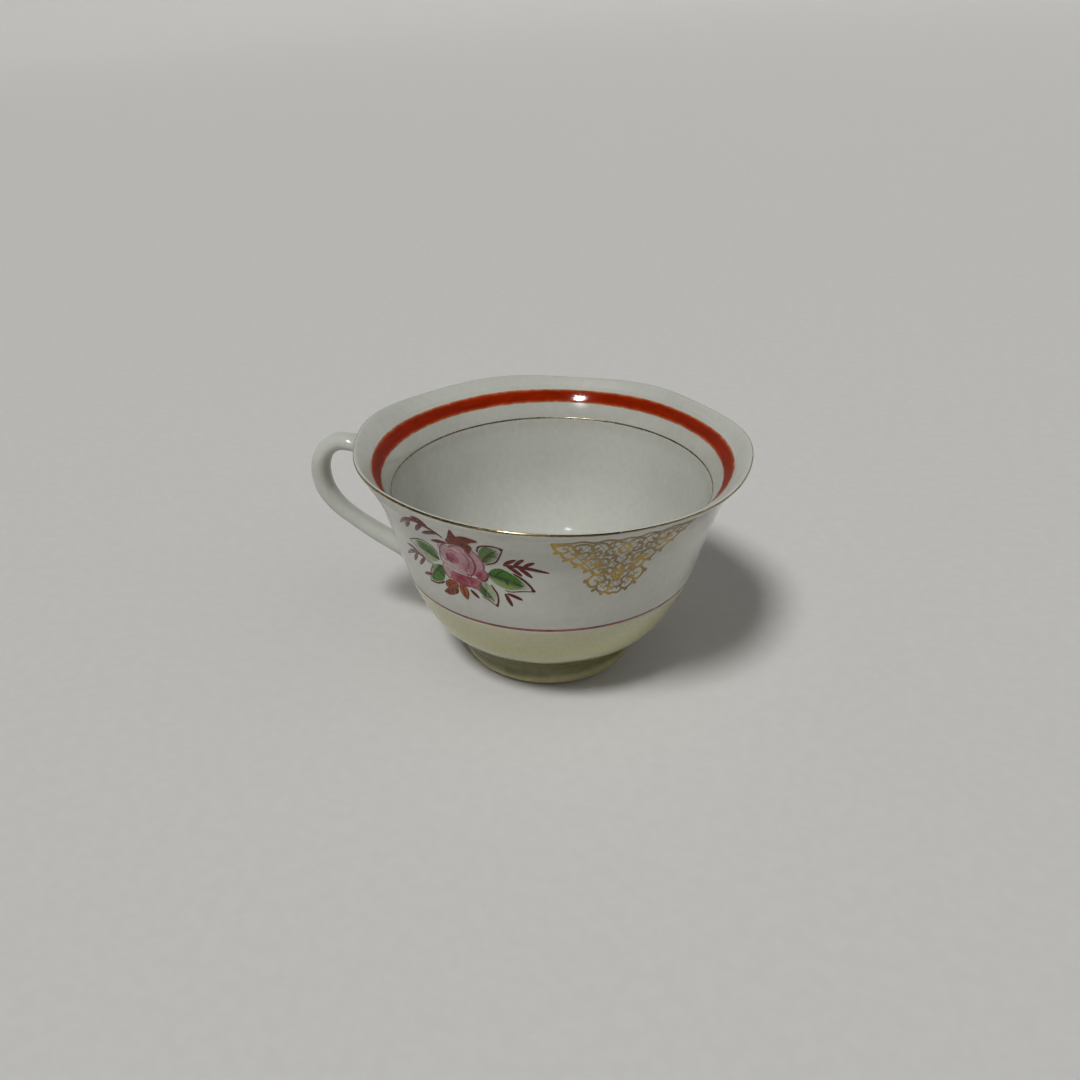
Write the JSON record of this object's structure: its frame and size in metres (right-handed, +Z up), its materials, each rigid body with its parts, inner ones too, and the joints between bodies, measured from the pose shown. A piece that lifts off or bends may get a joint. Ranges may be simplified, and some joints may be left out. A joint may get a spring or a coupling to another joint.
{
  "type": "teacup",
  "caption": "Footed teacup with a flared, gently wavy lip, a bell-shaped wall, one side loop handle and fired-on bands, lines and transfers.",
  "frame": {"origin": "bottom centre of the whole cup's box, in the plane that the foot stands on", "axes": "+Z up, along the axis that the bowl is turned on, which stands at X = 7 mm; the handle points to -X; the rose transfer faces -Y"},
  "size_m": [0.1099, 0.0956, 0.0591],
  "materials": {
    "porcelain": "clear glossy glaze over greyish white porcelain",
    "foot_porcelain": "glossy glaze, bare and slightly rough on the ring that it stands on",
    "handle_porcelain": "clear glossy glaze",
    "slip": "fired slip, matt under the glaze",
    "gold": "thin burnished gilding, slightly worn",
    "red_enamel": "glossy iron red enamel, brushed on and thinner at its edges",
    "maroon_enamel": "thin glossy maroon line",
    "yellow_enamel": "pale yellow sprayed enamel under a glossy glaze",
    "foot_enamel": "the same enamel, pooled darker in the hollow of the foot",
    "rose_transfer": "pink, green and maroon overglaze transfer",
    "lace_transfer": "matt gold printed scrolls"
  },
  "bodies": {
    "root": {"bowl": "porcelain", "foot_ring": "foot_porcelain", "handle": "handle_porcelain", "upper_slip_joint": "slip", "lower_slip_joint": "slip", "rim_gilding": "gold", "inner_gold_line": "gold", "red_band": "red_enamel", "maroon_line": "maroon_enamel", "yellow_ground": "yellow_enamel", "foot_enamel": "foot_enamel", "rose_decal": "rose_transfer", "lace_decal": "lace_transfer"}
  },
  "joints": []
}
